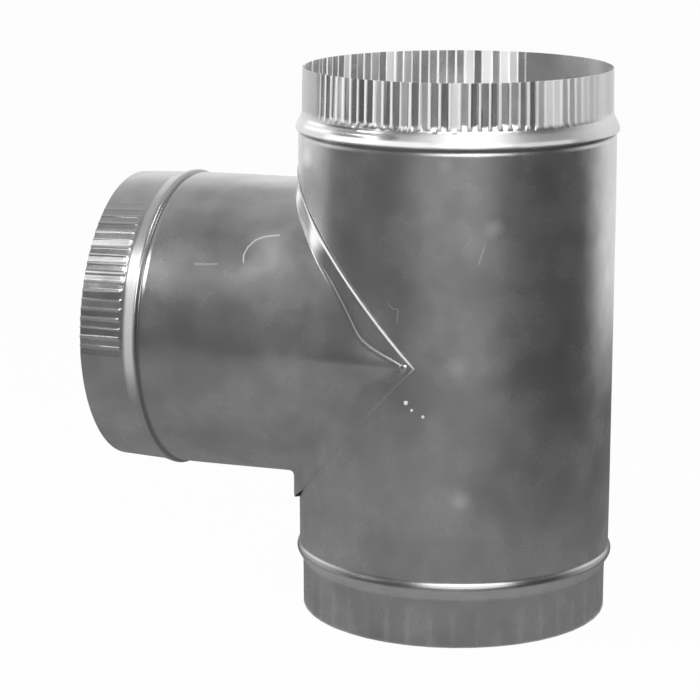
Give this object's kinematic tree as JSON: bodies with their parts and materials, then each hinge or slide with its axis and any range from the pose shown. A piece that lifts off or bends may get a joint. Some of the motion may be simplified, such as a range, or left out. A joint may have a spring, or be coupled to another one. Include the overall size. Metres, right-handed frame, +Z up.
{
  "type": "round duct tee",
  "caption": "Galvanised sheet-metal tee for round duct, with a side branch riveted to the run by a saddle flange, beaded ends and crimped collars.",
  "frame": {"origin": "centre of the lower rim, on the run's axis", "axes": "+Z up along the run, -X along the branch towards its open end"},
  "size_m": [0.3283, 0.208, 0.3556],
  "materials": {
    "galvanised_sheet": "dull galvanised, cloudy",
    "rivet_steel": "bright plated"
  },
  "bodies": {
    "root": {"run_pipe": "galvanised_sheet", "branch_pipe": "galvanised_sheet", "saddle_rivets": "rivet_steel"}
  },
  "joints": []
}
